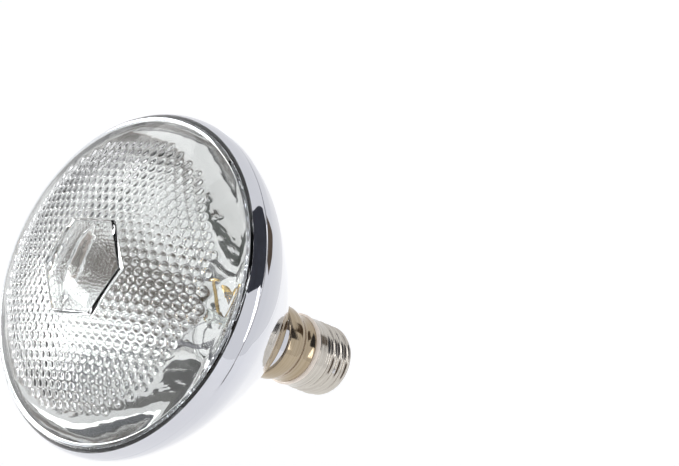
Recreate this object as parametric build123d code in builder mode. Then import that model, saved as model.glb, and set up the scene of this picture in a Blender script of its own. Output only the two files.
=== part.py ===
from build123d import *

import os
from math import asin, atan2, cos, degrees, radians, sin

# Reflector heat lamp with an E27 screw cap, in millimetres.
# The lamp's axis is the Y axis: the lens faces -Y and the cap points to +Y.
# The origin is on the axis at the end face of the cap's centre contact.
# Every profile is drawn on Plane.XY, with X as the radius, and revolved about Axis.Y.

os.makedirs("parts", exist_ok=True)

# ---------------------------------------------------------------- driving dimensions
# Envelope
RIM_RADIUS = 60.5  # widest radius, at the seam line
RIM_TO_CONTACT = 109.0  # from the seam plane to the contact's end face
DOME_HEIGHT = 24.0  # the lens's crown in front of the seam plane
DOME_CORNER = 9.5  # radius of the corner between the rim and the crown
LENS_WALL = 3.2
LIP_LENGTH = 4.8  # the reflector's lip in front of the seam plane
SEAM_GROOVE_WIDTH = 0.6
SEAM_GROOVE_DEPTH = 0.4

# Hexagonal pad on the lens's crown
PAD_CORNER_RADIUS = 18.0  # centre to corner, on its flat top
PAD_RISE = 0.6  # its top above the crown
PAD_BEVEL = 30.0  # degrees, slope of its sides

# Reflector bowl, heel and neck
BOWL_WALL = 2.8
LIP_BACK = 3.0  # where the bowl starts to narrow, behind the seam plane
LIP_TAPER = 0.2  # how much the lip narrows up to there
BOWL_START_SLOPE = 17.0  # degrees from the axis
SHOULDER_RADIUS = 45.0
SHOULDER_END_SLOPE = 35.0
FLANK_RADIUS = 450.0
CREASE_SLOPE = 37.5  # slope of the flank where the step ring is
FLANK_END_SLOPE = 41.0
STEP_HEIGHT = 0.5
HEEL_RADIUS = 5.0
HEEL_END_SLOPE = 80.0
NECK_FILLET = 3.0
NECK_RADIUS = 13.2
MIRROR_FILM = 0.15
FILM_SETBACK = 1.0  # from the film's end to the collar's mouth

# E27 screw cap
CAP_MAJOR_RADIUS = 13.15
CAP_THREAD_DEPTH = 0.95
CAP_PITCH = 3.629
CAP_CRESTS = 4
SHELL_SHEET = 0.35
SHELL_START = 25.0  # from the contact's end face to the insulating ring
SHELL_BAND = 4.8  # plain length beside the insulating ring
SHELL_BAND_DROP = 0.15  # how far the plain band lies below the thread's crests
SHELL_LIP_DROP = 1.2  # how far the lip lies below the thread's grooves
SHELL_LIP_LENGTH = 0.9
INSULATOR_END_RADIUS = 5.8
INSULATOR_DEPTH = 2.2  # how far it reaches inside the shell's lip
CONTACT_RADIUS = 4.8
CONTACT_SHEET = 0.4
CONTACT_DISH = 0.8
CONTACT_HOLE_RADIUS = 1.0
SOLDER_RADIUS = 2.8
SOLDER_FLAT_RADIUS = 1.6
SOLDER_HEIGHT = 0.8
SOLDER_MARGIN = 0.3  # of the eyelet's flat, round the solder
INSULATOR_HOLLOW = 0.5  # how far the black glass curves in below a straight cone
INSULATOR_HOLLOW_SHIFT = 0.3

# Insulating ring and collar
RING_PROUD = 0.3  # how far it stands proud of the shell's plain band
RING_THICKNESS = 2.0
RING_BORE_RADIUS = 9.0
RING_HUB_LENGTH = 2.5
RING_CLEARANCE = 0.1
RING_EDGE_SHARE = 0.3  # edge radius, as a share of its thickness
COLLAR_LENGTH = 15.0
COLLAR_SHEET = 0.45
COLLAR_END_RADIUS = 12.6
COLLAR_WAIST_RADIUS = 12.3
COLLAR_WAIST_FROM_RING = 4.0
COLLAR_SOCKET_LENGTH = 5.5
CEMENT_GAP = 0.25  # between the neck and the collar's socket
NECK_INSERTION = 3.5
CEMENT_LENGTH = 6.5
CEMENT_SETBACK = 0.6

# Stem and mount
STEM_FLARE_LENGTH = 7.0
STEM_TUBE_RADIUS = 5.4
STEM_WALL = 1.1
STEM_LENGTH = 28.0  # from the neck's end to the press's top
PRESS_LENGTH = 9.5
PRESS_WIDTH = 12.0
PRESS_THICKNESS = 4.4
PRESS_EDGE_SHARE = 0.45  # edge radius, as a share of its thickness
PRESS_FLOOR = 1.0  # glass that closes the stem tube at the press
PRESS_SHORTFALL = 0.5  # so that the press ends inside that glass
EXHAUST_RADIUS = 1.8
EXHAUST_WALL = 0.6
EXHAUST_LENGTH = 24.0
LEAD_SPACING = 6.4
LEAD_RADIUS = 0.5
LEAD_STRAIGHT = 1.5  # of an inner lead, from the press to its bend
SEAL_LENGTH = 6.0
OUTER_LEAD_RADIUS = 0.3
ARBOR_RADIUS = 1.4
ARBOR_LENGTH = 7.0
BUTTON_RADIUS = 2.4
SHIELD_CLEARANCE = 1.0  # between its edge and the neck's bore
SHIELD_THICKNESS = 0.4
SHIELD_FROM_PRESS = 5.0  # behind the press's lower end

# Filament
FILAMENT_RING_RADIUS = 12.0
FILAMENT_COIL_RADIUS = 0.7
FILAMENT_FROM_PRESS = 11.5
FILAMENT_GAP = 44.0  # degrees left open between its ends
SUPPORT_COUNT = 5
SUPPORT_RADIUS = 0.2
CLAMP_RADIUS = 1.0
CLAMP_LENGTH = 3.0
JOINT_GAP = 0.1  # between a wire's flat end and the round piece that it meets

# Cap wiring
FUSE_RADIUS = 1.6
FUSE_LENGTH = 10.0
LIVE_LEAD_OFFSET = 5.0
NEUTRAL_LEAD_RADIUS = 8.2
LEAD_BEND_RADIUS = 1.5
LIVE_LEAD_SPREAD = 5.0  # length in which it moves out to the fuse's line
FUSE_TAIL = 1.0  # straight wire beyond the fuse
LIVE_LEAD_RISE = 3.0  # straight wire below the insulator
WELD_RADIUS = 0.9
WELD_TURN = 9.0  # degrees about the axis, from +X towards +Z
WELD_GROOVE = 2  # which thread groove it is in, counted from the plain band
WELD_PROUD = 0.25  # its face above the groove
WELD_DEPTH = 0.4  # its back inside the shell
CUT_MARGIN = 1.0  # how far a cut runs past what it cuts

# ---------------------------------------------------------------- radii that follow from these
CAP_MINOR_RADIUS = CAP_MAJOR_RADIUS - CAP_THREAD_DEPTH
SHELL_BAND_RADIUS = CAP_MAJOR_RADIUS - SHELL_BAND_DROP
SHELL_LIP_RADIUS = CAP_MINOR_RADIUS - SHELL_LIP_DROP
RING_RADIUS = SHELL_BAND_RADIUS + RING_PROUD
THREAD_MEAN_RADIUS = (CAP_MAJOR_RADIUS + CAP_MINOR_RADIUS) / 2
COLLAR_SOCKET_RADIUS = NECK_RADIUS + CEMENT_GAP + COLLAR_SHEET
NECK_BORE_RADIUS = NECK_RADIUS - BOWL_WALL
STEM_BORE_RADIUS = STEM_TUBE_RADIUS - STEM_WALL
SHIELD_RADIUS = NECK_BORE_RADIUS - SHIELD_CLEARANCE

# ---------------------------------------------------------------- stations along Y
SEAM_Y = -RIM_TO_CONTACT
LIP_Y = SEAM_Y - LIP_LENGTH
CROWN_Y = SEAM_Y - DOME_HEIGHT
PAD_Y = CROWN_Y - PAD_RISE
RING_FRONT_Y = -SHELL_START - RING_THICKNESS
COLLAR_FRONT_Y = RING_FRONT_Y - COLLAR_LENGTH
NECK_END_Y = COLLAR_FRONT_Y + NECK_INSERTION
PRESS_TOP_Y = NECK_END_Y - STEM_LENGTH
PRESS_END_Y = PRESS_TOP_Y + PRESS_LENGTH
FILAMENT_Y = PRESS_TOP_Y - FILAMENT_FROM_PRESS
BUTTON_Y = PRESS_TOP_Y - ARBOR_LENGTH
SEAL_TOP_Y = PRESS_TOP_Y + (PRESS_LENGTH - SEAL_LENGTH) / 2
SEAL_END_Y = SEAL_TOP_Y + SEAL_LENGTH
THREAD_START_Y = -SHELL_START + SHELL_BAND
THREAD_HALF_TURNS = 2 * CAP_CRESTS - 1
THREAD_END_Y = THREAD_START_Y + THREAD_HALF_TURNS * CAP_PITCH / 2
SHELL_END_Y = THREAD_END_Y + SHELL_LIP_LENGTH
CONTACT_BACK_Y = -SOLDER_HEIGHT - CONTACT_DISH - CONTACT_SHEET

# The crown's radius follows from the dome's height and the corner: the two arcs are tangent.
CORNER_CENTRE_RADIUS = RIM_RADIUS - DOME_CORNER
CROWN_RADIUS = (
    CORNER_CENTRE_RADIUS**2 + DOME_HEIGHT**2 - DOME_CORNER**2
) / (2 * (DOME_HEIGHT - DOME_CORNER))
CROWN_CENTRE_Y = CROWN_Y + CROWN_RADIUS
CROWN_HALF_ANGLE = degrees(atan2(CORNER_CENTRE_RADIUS, CROWN_RADIUS - DOME_HEIGHT))


def slope_direction(slope):
    """Direction of a profile that runs towards the cap and narrows at this slope in degrees."""
    return (-sin(radians(slope)), cos(radians(slope)))


def draw_dome(inset):
    """Draws the dome's profile from the lip plane to the axis, inset from the outer surface."""
    corner = DOME_CORNER - inset
    lip_angle = degrees(asin(LIP_LENGTH / corner))
    corner_arc = CenterArc(
        (CORNER_CENTRE_RADIUS, SEAM_Y), corner, -lip_angle, lip_angle + CROWN_HALF_ANGLE - 90
    )
    crown_arc = CenterArc(
        (0, CROWN_CENTRE_Y), CROWN_RADIUS - inset, CROWN_HALF_ANGLE - 90, -CROWN_HALF_ANGLE
    )
    return corner_arc @ 0, crown_arc @ 1


def draw_bowl(inset, step, end_y):
    """Draws the reflector's profile from the lip plane to end_y, inset from the outer surface."""
    corner = DOME_CORNER - inset
    lip_angle = degrees(asin(LIP_LENGTH / corner))
    lip = CenterArc((CORNER_CENTRE_RADIUS, SEAM_Y), corner, -lip_angle, lip_angle)
    start_slope = radians(BOWL_START_SLOPE)
    bowl_start = (
        RIM_RADIUS - LIP_TAPER - inset * cos(start_slope),
        SEAM_Y + LIP_BACK - inset * sin(start_slope),
    )
    Line(lip @ 1, bowl_start)
    shoulder = JernArc(
        bowl_start,
        slope_direction(BOWL_START_SLOPE),
        SHOULDER_RADIUS - inset,
        SHOULDER_END_SLOPE - BOWL_START_SLOPE,
    )
    flank_front = JernArc(
        shoulder @ 1,
        shoulder % 1,
        FLANK_RADIUS - inset,
        CREASE_SLOPE - SHOULDER_END_SLOPE,
    )
    crease = radians(CREASE_SLOPE)
    crease_point = flank_front @ 1
    if step > 0:
        below = crease_point - Vector(cos(crease), sin(crease)) * step
        Line(crease_point, below)
        crease_point = below
    flank_rear = JernArc(
        crease_point,
        slope_direction(CREASE_SLOPE),
        FLANK_RADIUS - inset - step,
        FLANK_END_SLOPE - CREASE_SLOPE,
    )
    heel = JernArc(
        flank_rear @ 1,
        flank_rear % 1,
        HEEL_RADIUS - inset,
        HEEL_END_SLOPE - FLANK_END_SLOPE,
    )
    fillet = NECK_FILLET + inset
    end_slope = radians(HEEL_END_SLOPE)
    fillet_start_radius = NECK_RADIUS - inset + fillet * (1 - cos(end_slope))
    back_length = ((heel @ 1).X - fillet_start_radius) / sin(end_slope)
    back_end = heel @ 1 + (heel % 1) * back_length
    Line(heel @ 1, back_end)
    neck_curve = JernArc(back_end, heel % 1, fillet, -HEEL_END_SLOPE)
    Line(neck_curve @ 1, (NECK_RADIUS - inset, end_y))
    return lip @ 0, Vector(NECK_RADIUS - inset, end_y)


def draw_shell(inset):
    """Draws the screw shell's profile from the insulating ring to its lip, moved in by inset."""
    band = SHELL_BAND_RADIUS - inset
    mean = THREAD_MEAN_RADIUS - inset
    run_out = CAP_PITCH / 4
    Line((band, -SHELL_START), (band, THREAD_START_Y - run_out))
    Line((band, THREAD_START_Y - run_out), (mean, THREAD_START_Y))
    for half_turn in range(THREAD_HALF_TURNS):
        start_y = THREAD_START_Y + half_turn * CAP_PITCH / 2
        peak = CAP_MAJOR_RADIUS if half_turn % 2 == 0 else CAP_MINOR_RADIUS
        ThreePointArc(
            (mean, start_y),
            (peak - inset, start_y + CAP_PITCH / 4),
            (mean, start_y + CAP_PITCH / 2),
        )
    lip_radius = SHELL_LIP_RADIUS - inset
    Line((mean, THREAD_END_Y), (lip_radius, SHELL_END_Y))
    return Vector(band, -SHELL_START), Vector(lip_radius, SHELL_END_Y)


def draw_collar(inset):
    """Draws the collar's profile from the insulating ring to its socket's mouth."""
    socket_radius = COLLAR_SOCKET_RADIUS - inset
    waist = (COLLAR_WAIST_RADIUS - inset, RING_FRONT_Y - COLLAR_WAIST_FROM_RING)
    socket_end = (socket_radius, COLLAR_FRONT_Y + COLLAR_SOCKET_LENGTH)
    Spline(
        (COLLAR_END_RADIUS - inset, RING_FRONT_Y),
        waist,
        socket_end,
        tangents=((-0.2, -1), (0, -1)),
    )
    Line(socket_end, (socket_radius, COLLAR_FRONT_Y))
    return Vector(COLLAR_END_RADIUS - inset, RING_FRONT_Y), Vector(socket_radius, COLLAR_FRONT_Y)


def draw_ring(inner_radius, outer_radius, front_y, back_y):
    """Draws a rectangle in the profile plane, which revolves into a ring or a disc."""
    with Locations(((inner_radius + outer_radius) / 2, (front_y + back_y) / 2)):
        Rectangle(outer_radius - inner_radius, back_y - front_y)


# ---------------------------------------------------------------- front lens
with BuildPart() as front_lens:
    with BuildSketch(Plane.XY):
        with BuildLine():
            outer_rim, outer_apex = draw_dome(0)
            inner_rim, inner_apex = draw_dome(LENS_WALL)
            Line(outer_rim, inner_rim)
            Line(outer_apex, inner_apex)
        make_face()
    revolve(axis=Axis.Y)
    pad_depth = PAD_RISE + LENS_WALL / 2
    with BuildSketch(Plane.XZ.offset(-PAD_Y)):
        RegularPolygon(radius=PAD_CORNER_RADIUS, side_count=6, rotation=90)
    extrude(amount=-pad_depth, taper=-PAD_BEVEL)
front_lens.part.label = "front_lens"

# ---------------------------------------------------------------- reflector bowl
with BuildPart() as reflector_glass:
    with BuildSketch(Plane.XY):
        with BuildLine():
            outer_lip, outer_end = draw_bowl(0, STEP_HEIGHT, NECK_END_Y)
            inner_lip, inner_end = draw_bowl(BOWL_WALL, 0, NECK_END_Y)
            Line(outer_lip, inner_lip)
            Line(outer_end, inner_end)
        make_face()
    revolve(axis=Axis.Y)
    with BuildSketch(Plane.XY):
        draw_ring(
            RIM_RADIUS - SEAM_GROOVE_DEPTH, RIM_RADIUS + CUT_MARGIN, SEAM_Y, SEAM_Y + SEAM_GROOVE_WIDTH
        )
    revolve(axis=Axis.Y, mode=Mode.SUBTRACT)
reflector_glass.part.label = "reflector_glass"

# ---------------------------------------------------------------- aluminium film inside the bowl
FILM_END_Y = COLLAR_FRONT_Y - FILM_SETBACK
with BuildPart() as reflector_mirror:
    with BuildSketch(Plane.XY):
        with BuildLine():
            outer_lip, outer_end = draw_bowl(BOWL_WALL, 0, FILM_END_Y)
            inner_lip, inner_end = draw_bowl(BOWL_WALL + MIRROR_FILM, 0, FILM_END_Y)
            Line(outer_lip, inner_lip)
            Line(outer_end, inner_end)
        make_face()
    revolve(axis=Axis.Y)
reflector_mirror.part.label = "reflector_mirror"

# ---------------------------------------------------------------- glass stem with its press
LEAD_PLACES = [(-LEAD_SPACING / 2, 0), (LEAD_SPACING / 2, 0)]
FLARE_END_Y = NECK_END_Y - STEM_FLARE_LENGTH
FLOOR_Y = PRESS_END_Y - PRESS_FLOOR
with BuildPart() as glass_stem:
    with BuildSketch(Plane.XY):
        with BuildLine():
            flare_out = Line((STEM_TUBE_RADIUS, FLOOR_Y), (STEM_TUBE_RADIUS, FLARE_END_Y))
            flare = TangentArc(
                flare_out @ 1, (NECK_BORE_RADIUS, NECK_END_Y - STEM_WALL), tangent=(0, 1)
            )
            foot = Line(flare @ 1, (NECK_BORE_RADIUS, NECK_END_Y))
            foot_in = Line(foot @ 1, (NECK_BORE_RADIUS - STEM_WALL, NECK_END_Y))
            TangentArc(
                (STEM_BORE_RADIUS, FLARE_END_Y), foot_in @ 1, tangent=(0, 1)
            )
            Polyline(
                (STEM_BORE_RADIUS, FLARE_END_Y),
                (STEM_BORE_RADIUS, PRESS_END_Y),
                (0, PRESS_END_Y),
                (0, FLOOR_Y),
                (STEM_TUBE_RADIUS, FLOOR_Y),
            )
        make_face()
    revolve(axis=Axis.Y)
    with BuildSketch(Plane.XZ.offset(-PRESS_TOP_Y)):
        RectangleRounded(PRESS_WIDTH, PRESS_THICKNESS, PRESS_THICKNESS * PRESS_EDGE_SHARE)
    extrude(amount=-(PRESS_LENGTH - PRESS_SHORTFALL))
    with BuildSketch(Plane.XZ.offset(-PRESS_TOP_Y)):
        with Locations(*LEAD_PLACES):
            Circle(LEAD_RADIUS)
    extrude(amount=-PRESS_LENGTH, mode=Mode.SUBTRACT)
glass_stem.part.label = "glass_stem"

# ---------------------------------------------------------------- exhaust tube, tipped off
with BuildPart() as exhaust_tube:
    with BuildSketch(Plane.XZ.offset(-PRESS_END_Y)):
        Circle(EXHAUST_RADIUS)
    extrude(amount=-EXHAUST_LENGTH)
    with Locations((0, PRESS_END_Y + EXHAUST_LENGTH, 0)):
        Sphere(EXHAUST_RADIUS)
    with BuildSketch(Plane.XZ.offset(-PRESS_END_Y)):
        Circle(EXHAUST_RADIUS - EXHAUST_WALL)
    extrude(amount=-EXHAUST_LENGTH, mode=Mode.SUBTRACT)
exhaust_tube.part.label = "exhaust_tube"

# ---------------------------------------------------------------- glass arbor and its button
with BuildPart() as stem_arbor:
    with BuildSketch(Plane.XZ.offset(-PRESS_TOP_Y)):
        Circle(ARBOR_RADIUS)
    extrude(amount=ARBOR_LENGTH)
    with Locations((0, BUTTON_Y, 0)):
        Sphere(BUTTON_RADIUS)
stem_arbor.part.label = "stem_arbor"

# ---------------------------------------------------------------- filament ring
FILAMENT_ARC = 360 - FILAMENT_GAP
FIRST_END = 90 + FILAMENT_GAP / 2  # about Y, from +X towards +Z
with BuildPart() as filament:
    with BuildSketch(Plane.XY.rotated((0, -FIRST_END, 0))):
        with Locations((FILAMENT_RING_RADIUS, FILAMENT_Y)):
            Circle(FILAMENT_COIL_RADIUS)
    revolve(axis=Axis.Y, revolution_arc=-FILAMENT_ARC)
filament.part.label = "filament"


def ring_point(angle, radius, y):
    """Point at this angle about Y, from +X towards +Z."""
    return Vector(radius * cos(radians(angle)), y, radius * sin(radians(angle)))


def rod(start, end, radius, mode=Mode.ADD):
    """Adds a straight round rod between two points to the part being built, or cuts it."""
    span = end - start
    with BuildSketch(Plane(origin=start, z_dir=span)) as section:
        Circle(radius)
    extrude(section.sketch, amount=span.length, mode=mode)


# ---------------------------------------------------------------- support hooks
SUPPORT_PITCH = FILAMENT_ARC / (SUPPORT_COUNT + 1)
with BuildPart() as filament_supports:
    for number in range(1, SUPPORT_COUNT + 1):
        angle = FIRST_END + number * SUPPORT_PITCH
        button = Vector(0, BUTTON_Y, 0)
        reach = FILAMENT_RING_RADIUS - FILAMENT_COIL_RADIUS - JOINT_GAP
        outer = ring_point(angle, reach, FILAMENT_Y)
        away = (outer - button).normalized()
        rod(button + away * (BUTTON_RADIUS + JOINT_GAP), outer, SUPPORT_RADIUS)
filament_supports.part.label = "filament_supports"

# ---------------------------------------------------------------- filament clamps
with BuildPart() as filament_clamps:
    for angle in (90 - FILAMENT_GAP / 2, 90 + FILAMENT_GAP / 2):
        towards_gap = 1 if angle < 90 else -1
        start = ring_point(angle, FILAMENT_RING_RADIUS, FILAMENT_Y)
        along = ring_point(angle + 90 * towards_gap, 1, 0)
        rod(start, start + along * CLAMP_LENGTH, CLAMP_RADIUS)
filament_clamps.part.label = "filament_clamps"


def build_inner_lead(side):
    """The stiff lead from the press to one clamp, on the -X or +X side."""
    clamp_angle = 90 - side * FILAMENT_GAP / 2
    clamp = ring_point(clamp_angle, FILAMENT_RING_RADIUS, FILAMENT_Y)
    along = ring_point(clamp_angle + side * 90, 1, 0)
    top = clamp + along * (CLAMP_LENGTH / 2)
    seal = Vector(side * LEAD_SPACING / 2, SEAL_TOP_Y, 0)
    bend = Vector(side * LEAD_SPACING / 2, PRESS_TOP_Y - LEAD_STRAIGHT, 0)
    towards = (bend - top).normalized()
    with BuildPart() as lead:
        rod(seal, bend, LEAD_RADIUS)
        with Locations(bend):
            Sphere(LEAD_RADIUS)
        rod(bend, top + towards * (CLAMP_RADIUS + JOINT_GAP), LEAD_RADIUS)
    return lead


# ---------------------------------------------------------------- inner leads
lead_wire_left = build_inner_lead(-1)
lead_wire_left.part.label = "lead_wire_left"
lead_wire_right = build_inner_lead(1)
lead_wire_right.part.label = "lead_wire_right"

# ---------------------------------------------------------------- seals of the leads in the press
with BuildPart() as dumet_seals:
    with BuildSketch(Plane.XZ.offset(-SEAL_TOP_Y)):
        with Locations(*LEAD_PLACES):
            Circle(LEAD_RADIUS)
    extrude(amount=-SEAL_LENGTH)
dumet_seals.part.label = "dumet_seals"

# ---------------------------------------------------------------- heat shield disc
SHIELD_Y = PRESS_END_Y + SHIELD_FROM_PRESS
with BuildPart() as heat_shield:
    with BuildSketch(Plane.XY):
        draw_ring(STEM_TUBE_RADIUS, SHIELD_RADIUS, SHIELD_Y, SHIELD_Y + SHIELD_THICKNESS)
    revolve(axis=Axis.Y)
heat_shield.part.label = "heat_shield"

# ---------------------------------------------------------------- nickel-plated collar
with BuildPart() as base_collar:
    with BuildSketch(Plane.XY):
        with BuildLine():
            outer_ring_end, outer_mouth = draw_collar(0)
            inner_ring_end, inner_mouth = draw_collar(COLLAR_SHEET)
            Line(outer_ring_end, inner_ring_end)
            Line(outer_mouth, inner_mouth)
        make_face()
    revolve(axis=Axis.Y)
base_collar.part.label = "base_collar"

# ---------------------------------------------------------------- basing cement
CEMENT_FRONT_Y = COLLAR_FRONT_Y + CEMENT_SETBACK
with BuildPart() as basing_cement:
    with BuildSketch(Plane.XY):
        with BuildLine():
            ring_end, mouth = draw_collar(COLLAR_SHEET)
            Polyline(ring_end, (0, ring_end.Y), (0, mouth.Y), mouth)
        make_face()
    revolve(axis=Axis.Y)
    with BuildSketch(Plane.XY):
        draw_ring(0, NECK_RADIUS, COLLAR_FRONT_Y, NECK_END_Y)
        draw_ring(0, NECK_BORE_RADIUS, COLLAR_FRONT_Y, RING_FRONT_Y)
        draw_ring(0, RING_RADIUS, CEMENT_FRONT_Y + CEMENT_LENGTH, RING_FRONT_Y)
        draw_ring(0, COLLAR_SOCKET_RADIUS, COLLAR_FRONT_Y, CEMENT_FRONT_Y)
    revolve(axis=Axis.Y, mode=Mode.SUBTRACT)
basing_cement.part.label = "basing_cement"

# ---------------------------------------------------------------- insulating ring
SHELL_HUB_RADIUS = SHELL_BAND_RADIUS - SHELL_SHEET - RING_CLEARANCE
COLLAR_HUB_RADIUS = COLLAR_WAIST_RADIUS - COLLAR_SHEET - RING_CLEARANCE
with BuildPart() as insulating_ring:
    with BuildSketch(Plane.XY):
        draw_ring(RING_BORE_RADIUS, RING_RADIUS, RING_FRONT_Y, -SHELL_START)
        fillet(vertices().group_by(Axis.X)[-1], RING_THICKNESS * RING_EDGE_SHARE)
    revolve(axis=Axis.Y)
    with BuildSketch(Plane.XY):
        draw_ring(RING_BORE_RADIUS, SHELL_HUB_RADIUS, -SHELL_START, -SHELL_START + RING_HUB_LENGTH)
        draw_ring(RING_BORE_RADIUS, COLLAR_HUB_RADIUS, RING_FRONT_Y - RING_HUB_LENGTH, RING_FRONT_Y)
    revolve(axis=Axis.Y)
insulating_ring.part.label = "insulating_ring"

# ---------------------------------------------------------------- screw shell
WELD_Y = THREAD_START_Y + (WELD_GROOVE - 0.25) * CAP_PITCH
with BuildPart() as screw_shell:
    with BuildSketch(Plane.XY):
        with BuildLine():
            outer_band, outer_shell_lip = draw_shell(0)
            inner_band, inner_shell_lip = draw_shell(SHELL_SHEET)
            Line(outer_band, inner_band)
            Line(outer_shell_lip, inner_shell_lip)
        make_face()
    revolve(axis=Axis.Y)
    weld_hole_end = ring_point(WELD_TURN, CAP_MAJOR_RADIUS + CUT_MARGIN, WELD_Y)
    rod(ring_point(WELD_TURN, 0, WELD_Y), weld_hole_end, WELD_RADIUS, Mode.SUBTRACT)
screw_shell.part.label = "screw_shell"

# ---------------------------------------------------------------- weld of the side lead
WELD_OUTER = CAP_MINOR_RADIUS + WELD_PROUD
WELD_INNER = CAP_MINOR_RADIUS - SHELL_SHEET - WELD_DEPTH
with BuildPart() as side_weld:
    weld_outside = ring_point(WELD_TURN, WELD_OUTER, WELD_Y)
    rod(ring_point(WELD_TURN, WELD_INNER, WELD_Y), weld_outside, WELD_RADIUS)
side_weld.part.label = "side_weld"

# ---------------------------------------------------------------- black glass insulator
INSULATOR_RADIUS = SHELL_LIP_RADIUS - SHELL_SHEET - RING_CLEARANCE
INSULATOR_BACK_Y = SHELL_END_Y - INSULATOR_DEPTH
with BuildPart() as base_insulator:
    with BuildSketch(Plane.XY):
        with BuildLine():
            Polyline(
                (CONTACT_HOLE_RADIUS, CONTACT_BACK_Y),
                (CONTACT_HOLE_RADIUS, INSULATOR_BACK_Y),
                (INSULATOR_RADIUS, INSULATOR_BACK_Y),
                (INSULATOR_RADIUS, SHELL_END_Y),
            )
            slope_mid = (
                (INSULATOR_RADIUS + INSULATOR_END_RADIUS) / 2 - INSULATOR_HOLLOW,
                (SHELL_END_Y + CONTACT_BACK_Y) / 2 - INSULATOR_HOLLOW_SHIFT,
            )
            ThreePointArc(
                (INSULATOR_RADIUS, SHELL_END_Y), slope_mid, (INSULATOR_END_RADIUS, CONTACT_BACK_Y)
            )
            Line((INSULATOR_END_RADIUS, CONTACT_BACK_Y), (CONTACT_HOLE_RADIUS, CONTACT_BACK_Y))
        make_face()
    revolve(axis=Axis.Y)
base_insulator.part.label = "base_insulator"

# ---------------------------------------------------------------- centre contact eyelet
with BuildPart() as contact_eyelet:
    with BuildSketch(Plane.XY):
        with BuildLine():
            Polyline(
                (CONTACT_HOLE_RADIUS, CONTACT_BACK_Y),
                (CONTACT_RADIUS, CONTACT_BACK_Y),
                (CONTACT_RADIUS, CONTACT_BACK_Y + CONTACT_SHEET),
                (SOLDER_RADIUS + SOLDER_MARGIN, -SOLDER_HEIGHT),
                (CONTACT_HOLE_RADIUS, -SOLDER_HEIGHT),
                close=True,
            )
        make_face()
    revolve(axis=Axis.Y)
contact_eyelet.part.label = "contact_eyelet"

# ---------------------------------------------------------------- solder on the centre contact
with BuildPart() as centre_solder:
    with BuildSketch(Plane.XY):
        with BuildLine():
            Polyline(
                (SOLDER_FLAT_RADIUS, 0),
                (0, 0),
                (0, CONTACT_BACK_Y),
                (CONTACT_HOLE_RADIUS, CONTACT_BACK_Y),
                (CONTACT_HOLE_RADIUS, -SOLDER_HEIGHT),
                (SOLDER_RADIUS, -SOLDER_HEIGHT),
            )
            TangentArc((SOLDER_FLAT_RADIUS, 0), (SOLDER_RADIUS, -SOLDER_HEIGHT), tangent=(1, 0))
        make_face()
    revolve(axis=Axis.Y)
centre_solder.part.label = "centre_solder"


def build_wire(points, bend_radius, radius):
    """A round wire along straight runs joined by arcs."""
    with BuildPart() as wire:
        with BuildLine():
            path = FilletPolyline(*points, radius=bend_radius)
        with BuildSketch(Plane(origin=path @ 0, z_dir=path % 0)):
            Circle(radius)
        sweep()
    return wire


# ---------------------------------------------------------------- fuse in its glass sleeve
FUSE_END_Y = RING_FRONT_Y + FUSE_LENGTH
FUSE_LINE = (-LIVE_LEAD_OFFSET, 0)
with BuildPart() as fuse_sleeve:
    with BuildSketch(Plane.XZ.offset(-RING_FRONT_Y)):
        with Locations(FUSE_LINE):
            Circle(FUSE_RADIUS)
            Circle(OUTER_LEAD_RADIUS, mode=Mode.SUBTRACT)
    extrude(amount=-FUSE_LENGTH)
fuse_sleeve.part.label = "fuse_sleeve"

# ---------------------------------------------------------------- outer lead to the centre contact
outer_lead_live = build_wire(
    [
        (-LEAD_SPACING / 2, SEAL_END_Y, 0),
        (-LEAD_SPACING / 2, NECK_END_Y, 0),
        (-LIVE_LEAD_OFFSET, NECK_END_Y + LIVE_LEAD_SPREAD, 0),
        (-LIVE_LEAD_OFFSET, FUSE_END_Y + FUSE_TAIL, 0),
        (0, INSULATOR_BACK_Y - LIVE_LEAD_RISE, 0),
        (0, CONTACT_BACK_Y, 0),
    ],
    LEAD_BEND_RADIUS,
    OUTER_LEAD_RADIUS,
)
outer_lead_live.part.label = "outer_lead_live"

# ---------------------------------------------------------------- outer lead to the screw shell
weld_inside = ring_point(WELD_TURN, WELD_INNER, WELD_Y)
weld_approach = ring_point(WELD_TURN, NEUTRAL_LEAD_RADIUS, WELD_Y)
ring_passage = ring_point(WELD_TURN, NEUTRAL_LEAD_RADIUS, RING_FRONT_Y)
outer_lead_neutral = build_wire(
    [
        (LEAD_SPACING / 2, SEAL_END_Y, 0),
        (LEAD_SPACING / 2, NECK_END_Y, 0),
        ring_passage,
        weld_approach,
        weld_inside,
    ],
    LEAD_BEND_RADIUS,
    OUTER_LEAD_RADIUS,
)
outer_lead_neutral.part.label = "outer_lead_neutral"

# ---------------------------------------------------------------- one STEP file for each piece
PIECES = [
    front_lens,
    reflector_glass,
    reflector_mirror,
    glass_stem,
    exhaust_tube,
    stem_arbor,
    filament,
    filament_supports,
    filament_clamps,
    lead_wire_left,
    lead_wire_right,
    dumet_seals,
    heat_shield,
    base_collar,
    basing_cement,
    insulating_ring,
    screw_shell,
    side_weld,
    base_insulator,
    contact_eyelet,
    centre_solder,
    fuse_sleeve,
    outer_lead_live,
    outer_lead_neutral,
]
for piece in PIECES:
    export_step(piece.part, f"parts/{piece.part.label}.step")
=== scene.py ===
"""Reflector heat lamp with a screw cap, built over its CAD frame and set in a plain studio.

Sizes are in millimetres while a piece is shaped, and its mesh goes to metres when it is done.
The lamp's axis is Y: the lens faces -Y and the cap points to +Y.
"""

from __future__ import annotations

import logging
import math
from dataclasses import dataclass, field
from enum import Enum
from typing import Callable, Iterable, Sequence

import bpy
from mathutils import Matrix, Vector

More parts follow.
